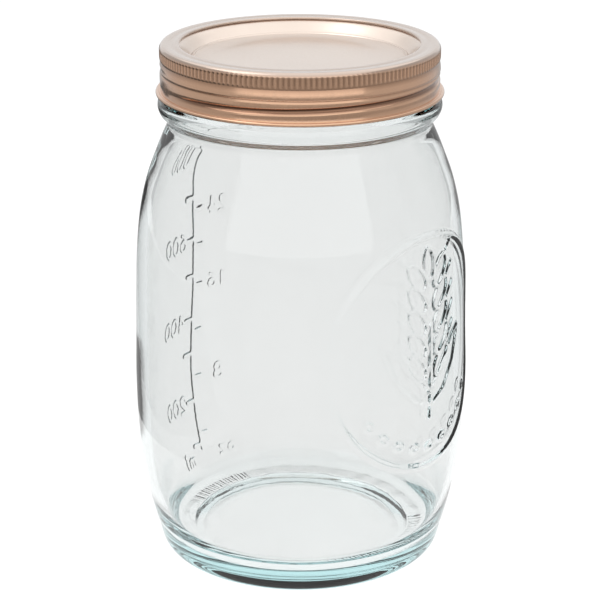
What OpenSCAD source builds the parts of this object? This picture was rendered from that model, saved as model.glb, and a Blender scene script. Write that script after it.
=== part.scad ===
// One-litre screw-top preserving jar used for a sourdough starter.
// Origin: centre of the foot, on the table. +Z up along the jar's axis.
// -Y is the front; +X is to the right of somebody looking at the front.
// Millimetres.

/* [Glass body] */
// Largest outside diameter of the glass
body_d = 106; // [102:0.5:110]
// Thickness of the side wall
wall_t = 3.2; // [2.6:0.1:3.6]
// Height of the middle of the inside floor above the table
floor_h = 6.6; // [5.5:0.1:8]
// Height of the push-up in the middle of the underside
push_up = 1.8; // [0.8:0.1:2.4]
// Inner radius of the flat bearing ring the jar stands on
foot_in_r = 36.4; // [34:0.1:38]

/* [Neck and mouth] */
// Height of the glass rim above the table
rim_z = 164.2; // [163.6:0.1:164.4]
// Inside radius of the mouth
mouth_r = 38.2; // [37.6:0.1:38.6]
// Outside radius of the finish between the threads
finish_r = 41.1; // [40.8:0.05:41.2]
// Outside radius of the glass thread
thread_r = 42.35; // [42.1:0.05:42.4]
// Rise of the thread in one turn
pitch = 5.08; // [5:0.01:5.2]
// Length of the glass thread in degrees
thread_deg = 450; // [360:5:460]
// Height of the middle of the glass thread where it passes the front
thread_z = 156.1; // [155.9:0.05:156.3]
// Outside radius of the collar bead under the band
collar_r = 44; // [43.4:0.1:44.4]

/* [Relief on the glass] */
// How far the relief stands out of the wall
relief_h = 0.6; // [0.4:0.1:0.8]
// Angle of the scale's upright line, counter-clockwise from +X
scale_deg = 137; // [130:1:145]
// Angle of the middle of the raised ring, counter-clockwise from +X
ring_deg = -41; // [-50:1:-35]
// Height of the middle of the raised ring
ring_z = 76.7; // [72:0.1:80]
// Radius of the raised ring, measured along the wall
ring_r = 37; // [32:0.5:38]
// Width of the raised ring
ring_w = 1.4; // [1:0.1:2]

/* [Lid disc and seal] */
// Outside radius of the lid disc
disc_r = 42.05; // [41.8:0.05:42.1]
// Thickness of the tinplate
sheet_t = 0.3; // [0.25:0.05:0.35]
// Depth of the sunk panel below the rim of the disc
panel_depth = 4; // [3.4:0.1:4.4]
// Radius of the sunk panel
panel_r = 33.7; // [32.8:0.1:34]
// Thickness of the sealing compound
seal_t = 0.6; // [0.5:0.05:0.65]

/* [Screw band] */
// Height of the top of the band above the table
band_top = 165.5; // [165.5:0.05:165.7]
// Radius of the hole in the top of the band
hole_r = 36.95; // [36.6:0.05:37.4]
// Outside radius over the knurling
knurl_r = 43.15; // [43.1:0.05:43.3]
// Number of knurls
knurls = 170; // [150:1:190]
// Outside radius of the band round the thread
skirt_r = 43.1; // [43.05:0.05:43.2]
// How far the rolled thread stands in
roll_in = 1; // [0.9:0.05:1.05]
// Height of the rolled thread where it passes the front
roll_z = 154.3; // [154.2:0.05:154.4]
// Outside radius of the curled bottom edge
curl_r = 44.5; // [44.4:0.05:44.6]

/* [Hidden] */
$fn = 96;

// smooth curve through a list of points
function cr(a, b, c, d, t) = 0.5 * (2 * b + (c - a) * t + (2 * a - 5 * b + 4 * c - d) * t * t
    + (3 * b - a - 3 * c + d) * t * t * t);
function smooth(p, n) = [
    for (i = [0 : len(p) - 2], k = [0 : n - 1])
        cr(p[max(i - 1, 0)], p[i], p[i + 1], p[min(i + 2, len(p) - 1)], k / n),
    p[len(p) - 1]];
function arc(cx, cz, r, a0, a1, n) = [for (i = [0 : n]) let (a = a0 + (a1 - a0) * i / n)
    [cx + r * cos(a), cz + r * sin(a)]];
function flip(p) = [for (i = [len(p) - 1 : -1 : 0]) p[i]];
// 0 to 1 to 0 over a stretch, with soft ends of width w
function fade(a, a0, a1, w) = let (d = min(a - a0, a1 - a))
    d <= 0 ? 0 : d >= w ? 1 : 0.5 - 0.5 * cos(180 * d / w);

// outside of the glass from the heel to the neck, radius and height
kr = body_d / 106;
body_pts = [for (q = [[43.3, 0.3], [45, 1.1], [45.9, 2.6], [46.5, 4.8], [47.3, 8], [48.9, 14],
    [50.6, 22], [52, 32], [52.8, 44], [53, 59], [52.6, 73], [52.2, 88], [51.6, 101],
    [50.3, 113], [48, 123], [45.3, 130.5], [43, 136.2]]) [q[0] * kr, q[1]]];
body_out = smooth(concat(body_pts, [[41.1, 140.3]]), 4);
out_tab = [for (q = body_out) [q[1], q[0]]];
function out_at(z) = lookup(z, out_tab);

neck_out = smooth([[41.1, 140.3], [41.5, 142.4], [43.3, 144.4], [collar_r, 146.6],
    [43.5, 148.3], [41.9, 149.5], [finish_r, 150.8]], 5);
// the band of the finish that carries the thread is a ring of flats, let into a shallow groove
flats_lo = 151.2;
flats_hi = rim_z - 1.5;
rim_out = concat([[finish_r, flats_lo], [finish_r - 0.8, flats_lo], [finish_r - 0.8, flats_hi],
    [finish_r, flats_hi]], arc(finish_r - 0.9, rim_z - 0.9, 0.9, 0, 90, 5));
rim_in = concat(arc(mouth_r + 1, rim_z - 1, 1, 90, 180, 5), [[mouth_r, rim_z - 2]]);

// inside of the glass
dt = wall_t - 3.2;
in_pts = smooth([[mouth_r, 152], [38.1, 147], [38, 143], [38.3 - dt, 139.5], [39.9 - dt, 134.6],
    [42.3 - dt, 128.8], [45 * kr - dt, 121.4], [47.1 * kr - dt, 112.2], [48.4 * kr - dt, 100.8],
    [49 * kr - dt, 88], [49.4 * kr - dt, 73], [49.8 * kr - dt, 59], [49.6 * kr - dt, 44],
    [49 * kr - dt, 33], [48 * kr - dt, 24], [46.4 * kr - dt, 16], [44.6 * kr - dt, 11.6],
    [42 - dt, floor_h + 2], [38.6, floor_h + 0.6], [34, floor_h + 0.2], [26, floor_h],
    [14, floor_h + 0.1], [0, floor_h + 0.1]], 4);
foot = concat([[0, push_up], [24, push_up]], smooth([[31, push_up * 0.8], [34.4, push_up * 0.35],
    [foot_in_r, 0]], 3), [[41.4, 0], [42.6, 0.05]]);
glass_profile = concat(foot, body_out, [for (i = [1 : len(neck_out) - 1]) neck_out[i]],
    rim_out, rim_in, in_pts);

// a helical ridge; sec lists [radial height 0..1, half height] around its section
function helix_pts(sec, r0, h, a0, a1, n, z0, w) = [
    for (i = [0 : n]) let (a = a0 + (a1 - a0) * i / n, f = max(fade(a, a0, a1, w), 0.02))
        for (s = sec) let (r = r0 + (s[0] < 0 ? s[0] * 0.5 : s[0] * h * f), b = a - 90)
            [r * cos(b), r * sin(b), z0 + pitch * a / 360 + s[1] * (0.45 + 0.55 * f)]];
// faces of a tube of n + 1 rings of m points
function tube_faces(n, m) = concat(
    [[for (j = [m - 1 : -1 : 0]) j]], [[for (j = [0 : m - 1]) n * m + j]],
    [for (i = [0 : n - 1], j = [0 : m - 1]) let (k = (j + 1) % m)
        each [[i * m + j, i * m + k, (i + 1) * m + k], [i * m + j, (i + 1) * m + k, (i + 1) * m + j]]]);

module glass_thread() {
    n = ceil(thread_deg / 5);
    lo = -210;
    translate([0, 0, flats_lo - 0.1]) linear_extrude(flats_hi - flats_lo + 0.2) difference() {
        polygon([for (i = [0 : 71]) (finish_r - 0.02) * [cos(5 * i), sin(5 * i)]]);
        circle(r = finish_r - 1.4);
    }
    sec = [[-1, -1.5], [0, -1.5], [0.7, -1], [1, -0.45], [1, 0.45], [0.7, 1], [0, 1.5], [-1, 1.5]];
    polyhedron(helix_pts(sec, finish_r - 0.06, thread_r - finish_r + 0.06, lo, lo + thread_deg, n,
        thread_z, 25),
        tube_faces(n, len(sec)), convexity = 6);
}

// height of one graduation, and a bar raised on the wall there
module bar(z, deg, wide) {
    r = out_at(z);
    tilt = atan2(out_at(z + 3) - out_at(z - 3), 6);
    rotate([0, 0, deg]) translate([r, 0, z]) rotate([0, tilt, 0])
        translate([relief_h - 1.6, -wide / 2, -0.6]) cube([1.6, wide, 1.2]);
}
ml_z = [120.4, 106.2, 91, 78, 62, 49.5, 32, 16.5];
oz_z = [102.2, 88.5, 74, 57, 40.5, 20];

module scale_marks() {
    line = [for (z = [15 : 6 : 129]) [out_at(z) + relief_h, z]];
    back = [for (z = [129 : -6 : 15]) [out_at(z) - 1, z]];
    rotate([0, 0, scale_deg - 0.55]) rotate_extrude(angle = 1.1) polygon(concat(line, back));
    for (i = [0 : len(ml_z) - 1]) bar(ml_z[i], scale_deg + 2.7, 4.4);
    for (i = [0 : len(oz_z) - 1]) bar(oz_z[i], scale_deg - 2.7, 4.4);
}

// thin raised ring laid on the curved wall
module wall_ring() {
    n = 72;
    pts = [for (i = [0 : n - 1]) let (t = 360 * i / n)
        for (s = [[-1, -0.9], [-0.5, 1], [0.5, 1], [1, -0.9]])
            let (q = ring_r + s[0] * ring_w / 2, z = ring_z + q * sin(t),
                r = out_at(z) + s[1] * relief_h, a = ring_deg + (q * cos(t)) / 53 * 180 / PI)
                [r * cos(a), r * sin(a), z]];
    polyhedron(pts, [for (i = [0 : n - 1], j = [0 : 3]) let (k = (j + 1) % 4, m = (i + 1) % n)
        each [[i * 4 + j, m * 4 + k, i * 4 + k], [i * 4 + j, m * 4 + j, m * 4 + k]]], convexity = 6);
}

module glass_jar() {
    color([0.86, 0.9, 0.89, 0.4]) union() {
        rotate_extrude() polygon(glass_profile);
        glass_thread();
        scale_marks();
        wall_ring();
    }
}

// Tinplate disc: rim, short wall, sunk panel and the bead round the panel
disc_top = band_top - sheet_t - 0.08;
panel_top = disc_top - panel_depth;
disc_upper = concat([[0, panel_top], [panel_r - 1.4, panel_top]],
    arc(panel_r - 0.9, panel_top - 0.12, 0.5, 165, 15, 5),
    smooth([[panel_r - 0.1, panel_top - 0.05], [panel_r + 0.7, panel_top + 0.6],
        [panel_r + 2.8, disc_top - 1.3], [panel_r + 3.9, disc_top - 0.5],
        [panel_r + 4.8, disc_top - 0.1], [panel_r + 5.5, disc_top]], 3));
disc_lower = [for (i = [0 : len(disc_upper) - 1]) let (
    a = disc_upper[max(i - 1, 0)], b = disc_upper[min(i + 1, len(disc_upper) - 1)], d = b - a,
    l = norm(d)) disc_upper[i] + sheet_t * [d[1], -d[0]] / l];

module lid_disc() {
    color([0.9, 0.8, 0.74]) rotate_extrude() polygon(concat(disc_upper,
        [[disc_r - 0.5, disc_top]], arc(disc_r - 0.5, disc_top - 0.5, 0.5, 90, 0, 4),
        [[disc_r, disc_top - 1.1], [disc_r - sheet_t, disc_top - 1.1],
            [disc_r - sheet_t, disc_top - 0.6], [disc_r - 0.6, disc_top - sheet_t]],
        flip([for (q = disc_lower) [max(q[0], 0), q[1]]])));
}

// Sealing compound, a flat ring bonded under the disc, over the rim
seal_z = disc_top - sheet_t;
module lid_seal() {
    color([0.55, 0.2, 0.16]) rotate_extrude() polygon([[39.3, seal_z], [39.4, seal_z - seal_t],
        [41, seal_z - seal_t], [41.25, seal_z - seal_t * 0.7], [41.3, seal_z]]);
}

// Band: rolled thread wall as one sheet, swept round
wall_tab = smooth([[skirt_r + 0.05, 150.9], [skirt_r - 0.1, 152.1], [skirt_r + 0.02, 153.6],
    [skirt_r + 0.05, 155.2], [skirt_r, 156.6], [skirt_r - 0.18, 157.2], [skirt_r + 0.12, 157.8],
    [skirt_r, 159.2], [skirt_r - 0.3, 160.6]], 2);
roll_lo = -75;
roll_hi = 300;
function bump(d) = abs(d) >= 1.2 ? 0 : pow(cos(75 * d), 2);
// inward push of the rolled thread at front angle a in 0..360 and height z
function push(a, z) = roll_in * max([for (k = [-1 : 1]) let (b = a + 360 * k)
    fade(b, roll_lo, roll_hi, 45) * bump(z - roll_z - pitch * b / 360)]);
module rolled_wall() {
    n = 72;
    m = len(wall_tab);
    pts = [for (i = [0 : n - 1]) let (a = 360 * i / n, c = cos(a - 90), s = sin(a - 90))
        each concat(
            [for (q = wall_tab) let (r = q[0] - push(a, q[1])) [r * c, r * s, q[1]]],
            [for (j = [m - 1 : -1 : 0]) let (q = wall_tab[j], r = q[0] - sheet_t - push(a, q[1]))
                [r * c, r * s, q[1]]])];
    p = 2 * m;
    polyhedron(pts, [for (i = [0 : n - 1], j = [0 : p - 1]) let (k = (j + 1) % p, w = (i + 1) % n)
        each [[i * p + j, i * p + k, w * p + k], [i * p + j, w * p + k, w * p + j]]], convexity = 8);
}

// Top: flange with its turned-in hole edge, shoulder and the knurled ring
module band_top_ring() {
    t = sheet_t;
    rotate_extrude() polygon(concat(
        arc(hole_r + 0.42, band_top - 0.42, 0.42, 270, 90, 8),
        [[hole_r + 1.2, band_top - 0.02], [hole_r + 1.9, band_top - 0.14],
            [hole_r + 2.7, band_top - 0.14], [hole_r + 3.4, band_top - 0.02],
            [knurl_r - 1.7, band_top]],
        arc(knurl_r - 1.45, band_top - 1.25, 1.25, 90, 10, 6),
        [[knurl_r - 0.3, 164.2], [knurl_r - 0.3, 160.2], [skirt_r - t - 0.45, 160.2],
            [knurl_r - 0.65, 164]],
        arc(knurl_r - 1.45, band_top - 1.25, 1.25 - t, 10, 90, 4),
        [[knurl_r - 1.7, band_top - t], [hole_r + 3.4, band_top - t], [hole_r + 0.9, band_top - t - 0.06],
            [hole_r + 0.9, band_top - t - 0.02]]));
}
module knurl_ring() {
    translate([0, 0, 160.9]) linear_extrude(3.3) difference() {
        polygon([for (i = [0 : 2 * knurls - 1]) let (a = 180 * i / knurls,
            r = i % 2 == 0 ? knurl_r : knurl_r - 0.42) [r * cos(a), r * sin(a)]]);
        circle(r = knurl_r - 0.55);
    }
}

// Bottom edge: the sheet curled outward and round on itself
module band_curl() {
    w = 0.6;
    cx = curl_r - w;
    rotate_extrude() polygon(concat([[skirt_r + 0.2, 151.2], [skirt_r - sheet_t - 0.05, 151.2],
        [skirt_r - sheet_t - 0.05, 150.9]],
        arc(cx, 150.6, w, 205, 480, 16), arc(cx, 150.6, w - sheet_t, 480, 210, 12),
        [[skirt_r + 0.3, 150.75]]));
}

module screw_band() {
    color([0.78, 0.6, 0.5]) union() {
        rolled_wall();
        band_top_ring();
        knurl_ring();
        band_curl();
    }
}

glass_jar();
lid_disc();
lid_seal();
screw_band();
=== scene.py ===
import bpy, math
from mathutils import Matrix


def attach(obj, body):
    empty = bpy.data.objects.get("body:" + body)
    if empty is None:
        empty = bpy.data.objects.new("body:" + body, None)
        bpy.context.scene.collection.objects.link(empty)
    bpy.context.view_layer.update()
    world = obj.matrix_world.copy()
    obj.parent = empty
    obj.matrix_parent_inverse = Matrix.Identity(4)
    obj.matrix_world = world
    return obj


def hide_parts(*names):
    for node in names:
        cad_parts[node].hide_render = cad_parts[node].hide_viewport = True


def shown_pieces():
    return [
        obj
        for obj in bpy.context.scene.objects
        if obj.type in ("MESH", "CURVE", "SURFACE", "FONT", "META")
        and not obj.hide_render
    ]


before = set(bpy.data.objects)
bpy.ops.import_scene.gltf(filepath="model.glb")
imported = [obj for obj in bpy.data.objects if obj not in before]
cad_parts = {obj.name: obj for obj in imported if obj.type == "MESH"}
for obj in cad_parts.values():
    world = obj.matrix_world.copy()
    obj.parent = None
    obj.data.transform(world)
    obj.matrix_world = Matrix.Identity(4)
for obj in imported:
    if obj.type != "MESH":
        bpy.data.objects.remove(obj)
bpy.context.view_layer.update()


M = 0.001
TAU = 2 * math.pi


# ---------------------------------------------------------------- helpers
def cr(a, b, c, d, t):
    return 0.5 * (2 * b + (c - a) * t + (2 * a - 5 * b + 4 * c - d) * t * t + (3 * b - a - 3 * c + d) * t ** 3)


def smooth(p, n):
    out = []
    for i in range(len(p) - 1):
        a, b, c, d = p[max(i - 1, 0)], p[i], p[i + 1], p[min(i + 2, len(p) - 1)]
        for k in range(n):
            out.append(tuple(cr(a[j], b[j], c[j], d[j], k / n) for j in (0, 1)))
    out.append(tuple(p[-1]))
    return out


def arc(cx, cz, r, a0, a1, n):
    return [(cx + r * math.cos(math.radians(a0 + (a1 - a0) * i / n)),
             cz + r * math.sin(math.radians(a0 + (a1 - a0) * i / n))) for i in range(n + 1)]


def spread(p, step):
    """The same line with points no further apart than step."""
    out = [p[0]]
    for a, b in zip(p, p[1:]):
        n = max(1, math.ceil(math.hypot(b[0] - a[0], b[1] - a[1]) / step))
        out += [(a[0] + (b[0] - a[0]) * k / n, a[1] + (b[1] - a[1]) * k / n) for k in range(1, n + 1)]
    return out


def bell(d, w):
    """1 in the middle, 0 beyond w, rounded."""
    d = abs(d)
    return 0.0 if d >= w else 0.5 + 0.5 * math.cos(math.pi * d / w)


def fade(a, lo, hi, w):
    d = min(a - lo, hi - a)
    return 0.0 if d <= 0 else 1.0 if d >= w else 0.5 - 0.5 * math.cos(math.pi * d / w)


def turned(name, rows, cols, move, closed, mat, body, node):
    """A surface swept round Z. rows are (r, z), cols are azimuths, move gives the final (r, z)."""
    n, m = len(cols), len(rows)
    verts, faces = [], []
    index = []
    for r, z in rows:
        if r < 1e-6:
            index.append((len(verts), True))
            verts.append((0, 0, z * M))
        else:
            index.append((len(verts), False))
            for a in cols:
                q, h = move(a, r, z)
                verts.append((q * math.cos(a) * M, q * math.sin(a) * M, h * M))
    last = m if closed else m - 1
    for i in range(last):
        (s, sp), (t, tp) = index[i], index[(i + 1) % m]
        for j in range(n):
            k = (j + 1) % n
            if sp and tp:
                continue
            if sp:
                faces.append((s, t + k, t + j))
            elif tp:
                faces.append((s + j, s + k, t))
            else:
                faces.append((s + j, s + k, t + k, t + j))
    me = bpy.data.meshes.new(name)
    me.from_pydata(verts, [], faces)
    me.validate()
    me.polygons.foreach_set("use_smooth", [True] * len(me.polygons))
    me.update()
    ob = bpy.data.objects.new(name, me)
    bpy.context.scene.collection.objects.link(ob)
    me.materials.append(mat)
    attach(ob, body)
    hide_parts(node)
    ob.visible_shadow = ob.visible_diffuse = False
    return ob


# ---------------------------------------------------------------- materials
def nodes_of(name):
    m = bpy.data.materials.new(name)
    m.use_nodes = True
    t = m.node_tree
    b = next(n for n in t.nodes if n.type == "BSDF_PRINCIPLED")
    o = next(n for n in t.nodes if n.type == "OUTPUT_MATERIAL")
    return m, t, b, o


def noise(t, scale, detail=2.0, squash=(1, 1, 1)):
    c = t.nodes.new("ShaderNodeTexCoord")
    p = t.nodes.new("ShaderNodeMapping")
    p.inputs["Scale"].default_value = squash
    n = t.nodes.new("ShaderNodeTexNoise")
    n.inputs["Scale"].default_value = scale
    n.inputs["Detail"].default_value = detail
    t.links.new(c.outputs["Object"], p.inputs["Vector"])
    t.links.new(p.outputs["Vector"], n.inputs["Vector"])
    return n


def ramp(t, src, lo, hi, a, b):
    r = t.nodes.new("ShaderNodeMapRange")
    r.inputs["From Min"].default_value = lo
    r.inputs["From Max"].default_value = hi
    r.inputs["To Min"].default_value = a
    r.inputs["To Max"].default_value = b
    t.links.new(src, r.inputs["Value"])
    return r.outputs["Result"]


def mix(t, fac, a, b):
    n = t.nodes.new("ShaderNodeMix")
    n.data_type = "RGBA"
    n.inputs["A"].default_value = (*a, 1)
    n.inputs["B"].default_value = (*b, 1)
    t.links.new(fac, n.inputs["Factor"])
    return n.outputs["Result"]


def bump(t, b, src, strength, dist):
    n = t.nodes.new("ShaderNodeBump")
    n.inputs["Strength"].default_value = strength
    n.inputs["Distance"].default_value = dist
    t.links.new(src, n.inputs["Height"])
    t.links.new(n.outputs["Normal"], b.inputs["Normal"])


def glass_material():
    m, t, b, o = nodes_of("clear_glass")
    w = noise(t, 38, 1.5, (1, 1, 0.55))
    tint = mix(t, ramp(t, w.outputs["Fac"], 0.3, 0.7, 0, 1), (0.878, 0.872, 0.868), (0.892, 0.886, 0.882))
    t.links.new(tint, b.inputs["Base Color"])
    b.inputs["Metallic"].default_value = 0
    b.inputs["Roughness"].default_value = 0.0
    b.inputs["IOR"].default_value = 1.5
    b.inputs["Transmission Weight"].default_value = 1.0
    bump(t, b, w.outputs["Fac"], 0.10, 0.0006)
    v = t.nodes.new("ShaderNodeVolumeAbsorption")
    v.inputs["Color"].default_value = (0.12, 0.70, 0.74, 1)
    v.inputs["Density"].default_value = 8.0
    t.links.new(v.outputs["Volume"], o.inputs["Volume"])
    return m


def metal_material(name, dark, light, rough, grain, squash, painted_shade_and_highlight=None):
    m, t, b, o = nodes_of(name)
    broad = noise(t, 26, 3.0)
    fine = noise(t, 900, 2.0, squash)
    col = mix(t, ramp(t, broad.outputs["Fac"], 0.3, 0.7, 0, 1), dark, light)
    if painted_shade_and_highlight:
        # painted shade darkens the colour where the sheet is pressed in, and a painted highlight makes the flat top
        # paler
        c = t.nodes.new("ShaderNodeTexCoord")
        x = t.nodes.new("ShaderNodeSeparateXYZ")
        q = t.nodes.new("ShaderNodeCombineXYZ")
        l = t.nodes.new("ShaderNodeVectorMath")
        l.operation = "LENGTH"
        t.links.new(c.outputs["Object"], x.inputs["Vector"])
        t.links.new(x.outputs["X"], q.inputs["X"])
        t.links.new(x.outputs["Y"], q.inputs["Y"])
        t.links.new(q.outputs["Vector"], l.inputs[0])
        for fac, shade in ((ramp(t, l.outputs["Value"], 0.0431, 0.0426, 0, 1), painted_shade_and_highlight[0]),
                           (ramp(t, x.outputs["Z"], 0.1640, 0.1652, 0, 1), painted_shade_and_highlight[1])):
            n = t.nodes.new("ShaderNodeMix")
            n.data_type = "RGBA"
            n.inputs["B"].default_value = (*shade, 1)
            t.links.new(col, n.inputs["A"])
            t.links.new(fac, n.inputs["Factor"])
            col = n.outputs["Result"]
    t.links.new(col, b.inputs["Base Color"])
    b.inputs["Metallic"].default_value = 1.0
    r = ramp(t, fine.outputs["Fac"], 0.3, 0.7, rough - 0.05, rough + 0.06)
    t.links.new(r, b.inputs["Roughness"])
    b.inputs["Coat Weight"].default_value = 1.0
    b.inputs["Coat Roughness"].default_value = 0.16
    b.inputs["Coat IOR"].default_value = 1.5
    bump(t, b, fine.outputs["Fac"], grain, 0.00008)
    return m


def seal_material():
    m, t, b, o = nodes_of("seal_compound")
    n = noise(t, 420, 3.0)
    t.links.new(mix(t, n.outputs["Fac"], (0.66, 0.63, 0.57), (0.78, 0.75, 0.70)), b.inputs["Base Color"])
    b.inputs["Roughness"].default_value = 0.6
    bump(t, b, n.outputs["Fac"], 0.2, 0.0001)
    return m


GLASS = glass_material()
# the last pair of colours is a painted shade for the pressed-in sheet and a painted highlight for the flat top
BAND = metal_material("rose_band", (0.68, 0.405, 0.255), (0.76, 0.465, 0.30), 0.20, 0.05, (1, 1, 0.2),
                      ((0.24, 0.115, 0.06), (0.64, 0.515, 0.435)))
DISC = metal_material("rose_tinplate", (0.79, 0.67, 0.585), (0.84, 0.72, 0.63), 0.33, 0.08, (1, 1, 1))
SEAL = seal_material()

# ---------------------------------------------------------------- glass
body_pts = [(43.3, 0.3), (45, 1.1), (45.9, 2.6), (46.5, 4.8), (47.3, 8), (48.9, 14), (50.6, 22),
            (52, 32), (52.8, 44), (53, 59), (52.6, 73), (52.2, 88), (51.6, 101), (50.3, 113),
            (48, 123), (45.3, 130.5), (43, 136.2), (41.1, 140.3)]
body_out = smooth(body_pts, 6)
neck_out = smooth([(41.1, 140.3), (41.5, 142.4), (43.3, 144.4), (44, 146.6), (43.5, 148.3),
                   (41.9, 149.5), (41.1, 150.8)], 5)
rim = [(41.1, 163.3)] + arc(40.2, 163.3, 0.9, 0, 90, 6) + arc(39.2, 163.2, 1, 90, 180, 6) + [(38.2, 162.2)]
inner = smooth([(38.2, 152), (38.1, 147), (38, 143), (38.3, 139.5), (39.9, 134.6), (42.3, 128.8),
                (45, 121.4), (47.1, 112.2), (48.4, 100.8), (49, 88), (49.4, 73), (49.8, 59),
                (49.6, 44), (49, 33), (48, 24), (46.4, 16), (44.6, 11.6), (42, 8.6), (38.6, 7.2),
                (34, 6.8), (26, 6.6), (14, 6.7), (0, 6.7)], 3)
foot = [(0, 1.8), (12, 1.8), (24, 1.8)] + smooth([(31, 1.44), (34.4, 0.63), (36.4, 0)], 3) + \
       spread([(36.6, 0), (41.4, 0)], 0.8) + [(42.6, 0.05)]


def out_at(z):
    for a, b in zip(body_out, body_out[1:]):
        if a[1] <= z <= b[1]:
            return a[0] + (b[0] - a[0]) * (z - a[1]) / max(b[1] - a[1], 1e-6)
    return body_out[0][0] if z < body_out[0][1] else body_out[-1][0]


def loop(cx, cy, rx, ry, a0=0, a1=360, n=14, tilt=0):
    out = []
    ct, st = math.cos(math.radians(tilt)), math.sin(math.radians(tilt))
    for i in range(n + 1):
        a = math.radians(a0 + (a1 - a0) * i / n)
        x, y = rx * math.cos(a), ry * math.sin(a)
        out.append((cx + x * ct - y * st, cy + x * st + y * ct))
    return out


GLYPH = {
    "0": [loop(0.5, 0.75, 0.48, 0.75)],
    "8": [loop(0.5, 1.12, 0.38, 0.38), loop(0.5, 0.38, 0.46, 0.38)],
    "6": [loop(0.5, 0.45, 0.46, 0.45), [(0.04, 0.45), (0.12, 0.95), (0.42, 1.35), (0.8, 1.5)]],
    "4": [[(0.75, 0), (0.75, 1.5), (0.0, 0.5), (1.0, 0.5)]],
    "2": [loop(0.5, 1.1, 0.44, 0.4, 170, -30, 8) + [(0.02, 0.0), (1.0, 0.0)]],
    "1": [[(0.2, 1.2), (0.55, 1.5), (0.55, 0)]],
    "m": [[(0, 0), (0, 0.9)], [(0, 0.7), (0.25, 0.9), (0.5, 0.7), (0.5, 0)], [(0.5, 0.7), (0.75, 0.9), (1, 0.7), (1, 0)]],
    "l": [[(0.3, 0), (0.3, 1.5)]],
    "o": [loop(0.5, 0.45, 0.42, 0.45)],
    "z": [[(0.05, 0.9), (0.95, 0.9), (0.05, 0), (0.95, 0)]],
}


def text(word, x, y, h):
    k = h / 1.5
    adv = 1.35 * k
    x0 = x - (len(word) * adv - 0.35 * k) / 2
    out = []
    for i, c in enumerate(word):
        for line in GLYPH[c]:
            out.append([(x0 + i * adv + p[0] * k, y - h / 2 + p[1] * k) for p in line])
    return out


# strokes on the wall, as ((points), half width, height); x runs along the wall to larger azimuth
R0 = 53.0
LINE_AZ, RING_AZ, RING_Z = math.radians(137), math.radians(-41), 76.7
scale = [([(0, 15), (0, 129)], 0.85, 0.6)]
ml_z = [120.4, 106.2, 91, 78, 62, 49.5, 32, 16.5]
oz_z = [102.2, 88.5, 74, 57, 40.5, 20]
for z in ml_z:
    scale.append(([(0, z), (4.1, z)], 0.85, 0.6))
for z in oz_z:
    scale.append(([(0, z), (-4.1, z)], 0.85, 0.6))
for word, z in (("800", ml_z[0] + 1), ("600", ml_z[2]), ("400", ml_z[4]), ("200", ml_z[6])):
    scale += [(p, 0.62, 0.5) for p in text(word, 11.2, z, 5.2)]
for word, z in (("24", oz_z[0]), ("16", oz_z[2]), ("8", oz_z[4])):
    scale += [(p, 0.62, 0.5) for p in text(word, -11.6, z, 5.2)]
scale += [(p, 0.62, 0.5) for p in text("ml", 9.5, 12.5, 4.7)]
scale += [(p, 0.62, 0.5) for p in text("oz", -12.5, 13.0, 4.7)]

ring = [(loop(0, 0, 37, 37, n=72), 1.0, 0.62)]
ring.append(([(0, -21), (0, 9)], 0.85, 0.6))
for k in range(5):
    y = -6 + 7.2 * k
    for s in (-1, 1):
        ring.append((loop(s * 5.6, y + 2.5, 5.4, 2.5, n=16, tilt=s * 52), 0.7, 0.6))
        ring.append(([(s * 8.8, y + 6.8), (s * 13.4, y + 13.0 - k * 0.8)], 0.55, 0.45))
ring.append((loop(0, 30.0 - 1.5, 2.3, 5.0, n=16), 0.7, 0.6))
for s in (-1, 1):
    ring.append(([(0, -17), (s * 7, -13.5), (s * 13.5, -6), (s * 17.5, 4), (s * 13, 2), (s * 6, -5), (0, -13)], 0.7, 0.55))
for k in range(9):
    a = math.radians(-90 + (k - 4) * 13)
    ring.append((loop(30.5 * math.cos(a), 30.5 * math.sin(a), 1.7, 1.1, n=8, tilt=math.degrees(a) + 90), 0.6, 0.5))


def grid(strokes):
    """Strokes sorted into 4 mm cells, so that a point looks only at those near it."""
    cells = {}
    for pts, w, h in strokes:
        for a, b in zip(pts, pts[1:]):
            x0, x1 = sorted((a[0], b[0]))
            y0, y1 = sorted((a[1], b[1]))
            for i in range(math.floor((x0 - w) / 4), math.floor((x1 + w) / 4) + 1):
                for j in range(math.floor((y0 - w) / 4), math.floor((y1 + w) / 4) + 1):
                    cells.setdefault((i, j), []).append((a, b, w, h))
    return cells


def height(cells, x, y):
    best = 0.0
    for a, b, w, h in cells.get((math.floor(x / 4), math.floor(y / 4)), ()):
        dx, dy = b[0] - a[0], b[1] - a[1]
        l = dx * dx + dy * dy
        t = 0 if l < 1e-9 else min(1, max(0, ((x - a[0]) * dx + (y - a[1]) * dy) / l))
        d = math.hypot(x - a[0] - t * dx, y - a[1] - t * dy)
        if d < w:
            best = max(best, h * (1 - (d / w) ** 2) ** 0.6)
    return best


SCALE, RING = grid(scale), grid(ring)


def near(a, b):
    return (a - b + math.pi) % TAU - math.pi


def glass_cols():
    out, a = [], -math.pi
    while a < math.pi - 0.002:
        out.append(a)
        ds, dr = abs(near(a, LINE_AZ)), abs(near(a, RING_AZ))
        if ds < math.radians(21):
            a += 0.50 / 53
        elif dr < math.radians(42):
            a += 0.5 / 53
        else:
            a += math.radians(2.2)
    return out


def fine_rows():
    """Rows up the outside, half a millimetre apart where the relief is."""
    out = [(out_at(0.3), 0.3)]
    z = 0.3
    while z < 140.2:
        z = min(z + (0.4 if z < 5 else 0.5 if 9 < z < 130.5 else 1.1), 140.3)
        out.append((out_at(z), z))
    return out


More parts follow.
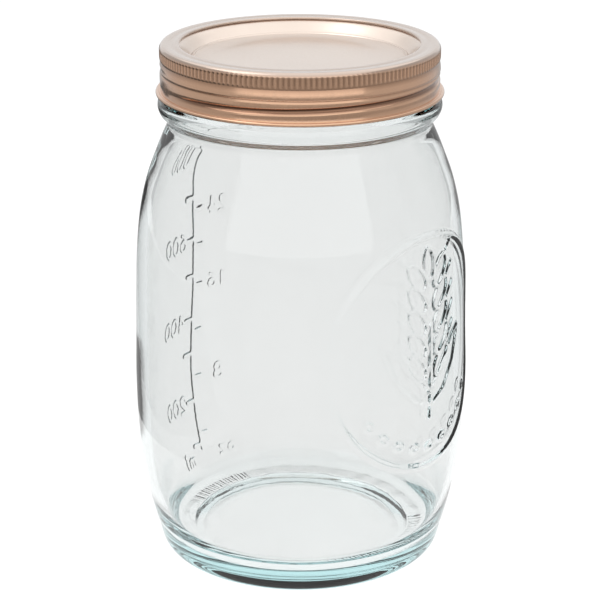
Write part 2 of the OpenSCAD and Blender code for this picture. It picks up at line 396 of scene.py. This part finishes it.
def glass_move(a, r, z):
    if r > 45 and 9 < z < 131 and r > out_at(z) - 0.01:
        h = 0.0
        xs, xr = near(a, LINE_AZ) * R0, near(a, RING_AZ) * R0
        if abs(xs) < 20:
            h = height(SCALE, xs, z)
        elif abs(xr) < 39 and abs(z - RING_Z) < 39:
            h = height(RING, xr, z - RING_Z)
        return r + h, z
    if abs(z) < 0.02 and 36.5 < r < 41.5:
        return r, 0.0 if int(a * 60) % 2 else 0.12
    if z > 151.3 and r > 40.5 and z < 162.6:
        f = math.degrees(a) + 90
        for k in (-2, -1, 0, 1, 2):
            g = f + 360 * k
            w = fade(g, -210, 240, 25)
            if w > 0:
                r = max(r, 41.1 + 1.25 * w * bell(z - 156.1 - 5.08 * g / 360, 1.5))
        return r, z
    if 8 < z < 138 and r < out_at(z) - 0.5:
        u = 0.14 * math.sin(3 * a + z * 0.045) * math.sin(z * 0.031 + 0.6) + 0.06 * math.sin(7 * a - z * 0.08)
        return r + u - 0.1, z
    return r, z


finish_rows = spread([(41.1, 150.8), (41.1, 163.3)], 0.42)
glass_rows = foot + fine_rows() + neck_out[1:-1] + finish_rows + rim[2:] + inner
turned("glass_jar_look", glass_rows, glass_cols(), glass_move, False, GLASS, "jar", "glass_jar")

# ---------------------------------------------------------------- lid disc
disc_up = [(0, 161.12), (8, 161.12), (16, 161.12), (24, 161.12), (32.3, 161.12)] + arc(32.8, 161.0, 0.5, 165, 15, 8) + \
          smooth([(33.6, 161.07), (34.4, 161.72), (36.5, 163.82), (37.6, 164.62), (38.5, 165.02), (39.2, 165.12)], 5)


def under(p, t):
    out = []
    for i in range(len(p)):
        a, b = p[max(i - 1, 0)], p[min(i + 1, len(p) - 1)]
        d = (b[0] - a[0], b[1] - a[1])
        l = math.hypot(*d)
        out.append((max(p[i][0] + t * d[1] / l, 0), p[i][1] - t * d[0] / l))
    return out


disc_rows = disc_up + [(41.3, 165.12)] + arc(41.55, 164.62, 0.5, 90, 0, 6) + \
            [(42.05, 164.02), (41.75, 164.02), (41.75, 164.5), (41.4, 164.82)] + under(disc_up, 0.3)[::-1]
disc_rows = disc_rows[::-1]
even = [TAU * i / 240 for i in range(240)]
turned("lid_disc_look", disc_rows, even, lambda a, r, z: (r, z), False, DISC, "lid", "lid_disc")
turned("lid_seal_look", [(39.3, 164.82), (39.32, 164.4), (39.5, 164.24), (40.3, 164.22), (41.0, 164.24), (41.24, 164.42), (41.3, 164.82)],
       even, lambda a, r, z: (r, z), True, SEAL, "lid", "lid_seal")

# ---------------------------------------------------------------- screw band
wall = smooth([(43.15, 150.9), (43.0, 152.1), (43.12, 153.6), (43.15, 155.2), (43.1, 156.6), (42.92, 157.2),
               (43.22, 157.8), (43.1, 159.2), (42.8, 160.6)], 4)
T = 0.3
curl_out = arc(43.9, 150.6, 0.6, 205, 480, 22)
# outside, from the hem of the hole out and down, then back up the inside
outer = arc(37.37, 165.08, 0.42, 300, 90, 10) + [(38.15, 165.48), (38.5, 165.42), (38.85, 165.36), (39.65, 165.36),
        (40.0, 165.42), (40.35, 165.48)] + arc(41.7, 164.25, 1.25, 90, 22, 7)
knurl = [(43.13, 164.3), (43.15, 164.05), (43.15, 163.5), (43.15, 162.7), (43.15, 161.9), (43.15, 161.4), (43.05, 161.05), (42.8, 160.7)]
back = [(q[0] - T, q[1]) for q in wall]
band_rows = outer + knurl + wall[::-1][1:] + [(43.3, 150.98)] + curl_out[::-1] + [(42.8, 151.0)] + back[1:] + \
            [(42.45, 163.9)] + arc(41.7, 164.25, 0.95, 10, 90, 5) + [(40.35, 165.18), (38.6, 165.06), (37.8, 165.08)]
N = 170
band_cols = [TAU * i / (N * 4) for i in range(N * 4)]
DEPTH = (0.0, 0.21, 0.42, 0.21)


def push(f, z):
    best = 0.0
    for k in (-1, 0, 1):
        g = f + 360 * k
        w = fade(g, -75, 300, 45)
        if w > 0:
            d = z - 154.3 - 5.08 * g / 360
            if abs(d) < 1.2:
                best = max(best, w * math.cos(math.radians(75 * d)) ** 2)
    return best


def band_move(a, r, z):
    if 160.65 < z < 164.35 and r > 42.75:
        j = round(a / TAU * N * 4) % 4
        k = min(1.0, max(0.0, (z - 160.75) / 0.7)) * min(1.0, max(0.0, (164.35 - z) / 0.35))
        return r - DEPTH[j] * k, z
    if 150.85 < z < 160.7 and 42.4 < r < 43.3:
        f = (math.degrees(a) + 90) % 360
        return r - 1.0 * push(f, z), z
    return r, z


turned("screw_band_look", band_rows, band_cols, band_move, True, BAND, "band", "screw_band")

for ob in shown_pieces():
    if ob.type == "MESH" and ob.name.endswith("_look"):
        me = ob.data
        import bmesh
        bm = bmesh.new()
        bm.from_mesh(me)
        bmesh.ops.recalc_face_normals(bm, faces=bm.faces)
        bm.to_mesh(me)
        bm.free()
        me.polygons.foreach_set("use_smooth", [True] * len(me.polygons))
        me.update()

# ---------------------------------------------------------------- studio
scene = bpy.context.scene
bpy.ops.mesh.primitive_plane_add(size=12, location=(0, 0, -0.0002))
floor = bpy.context.object
floor.name = "floor"
fm, ft, fb, fo = nodes_of("floor_paper")
fn = noise(ft, 60, 2.0)
ft.links.new(mix(ft, fn.outputs["Fac"], (0.86, 0.86, 0.86), (0.875, 0.875, 0.875)), fb.inputs["Base Color"])
fb.inputs["Roughness"].default_value = 0.9
fb.inputs["Specular IOR Level"].default_value = 0.1
floor.data.materials.append(fm)


def card(name, loc, rot, sx, sy, value, through=False):
    """A plain card that shows only in the shine, and through the glass where asked for."""
    bpy.ops.mesh.primitive_plane_add(size=1, location=loc, rotation=[math.radians(q) for q in rot])
    c = bpy.context.object
    c.name = name
    c.scale = (sx, sy, 1)
    m = bpy.data.materials.new(name)
    m.use_nodes = True
    t = m.node_tree
    t.nodes.clear()
    e = t.nodes.new("ShaderNodeEmission")
    o = t.nodes.new("ShaderNodeOutputMaterial")
    n = noise(t, 3, 1.0)
    t.links.new(mix(t, n.outputs["Fac"], (value * 0.96,) * 3, (value * 1.04,) * 3), e.inputs["Color"])
    t.links.new(e.outputs["Emission"], o.inputs["Surface"])
    c.data.materials.append(m)
    c.visible_camera = c.visible_diffuse = c.visible_shadow = False
    c.visible_transmission = through
    return c


low = card("card_low", (0, 0, 0.0015), (0, 0, 0), 1.0, 1.0, 0.46)
ring_in = [(0.12 * math.cos(TAU * k / 48), 0.12 * math.sin(TAU * k / 48), 0) for k in range(48)]
ring_out = [(3.9 * math.cos(TAU * k / 48), 4 * math.sin(TAU * k / 48), 0) for k in range(48)]
low_mesh = bpy.data.meshes.new("card_low")
low_mesh.from_pydata(ring_in + ring_out, [], [(k, 48 + k, 48 + (k + 1) % 48, (k + 1) % 48) for k in range(48)])
low_mesh.materials.append(low.data.materials[0])
low.data = low_mesh
card("card_low_left", (-0.42, 0.22, 0.002), (0, 0, 0), 0.56, 0.72, 0.12)
card("card_low_right", (0.52, 0.18, 0.002), (0, 0, 0), 0.36, 0.50, 0.40)
card("card_back", (0, 1.3, 0.62), (90, 0, 0), 3.0, 1.1, 0.84)
card("card_side_left", (-0.46, 0.12, 0.26), (0, 90, 0), 0.52, 1.0, 0.58, True)
card("card_side_right", (0.46, 0.12, 0.26), (0, 90, 0), 0.52, 1.0, 0.60, True)

world = bpy.data.worlds.new("studio")
scene.world = world
world.use_nodes = True
bg = world.node_tree.nodes["Background"]
bg.inputs["Color"].default_value = (1, 1, 1, 1)
bg.inputs["Strength"].default_value = 1.18

bpy.ops.object.light_add(type="AREA", location=(-0.9, -0.3, 1.3))
key = bpy.context.object
key.data.size = 1.0
key.data.energy = 3
key.rotation_euler = (math.radians(10), math.radians(-33), 0)

cam = bpy.data.cameras.new("camera")
cam.lens = 114.8
cam.sensor_width = 36
co = bpy.data.objects.new("camera", cam)
scene.collection.objects.link(co)
co.location = (0, -0.5772, 0.2914)
co.rotation_euler = (math.radians(70), 0, 0)
scene.camera = co
scene.view_settings.view_transform = "Standard"
scene.cycles.max_bounces = 24
scene.cycles.transmission_bounces = 20
scene.cycles.glossy_bounces = 8
scene.cycles.volume_bounces = 2
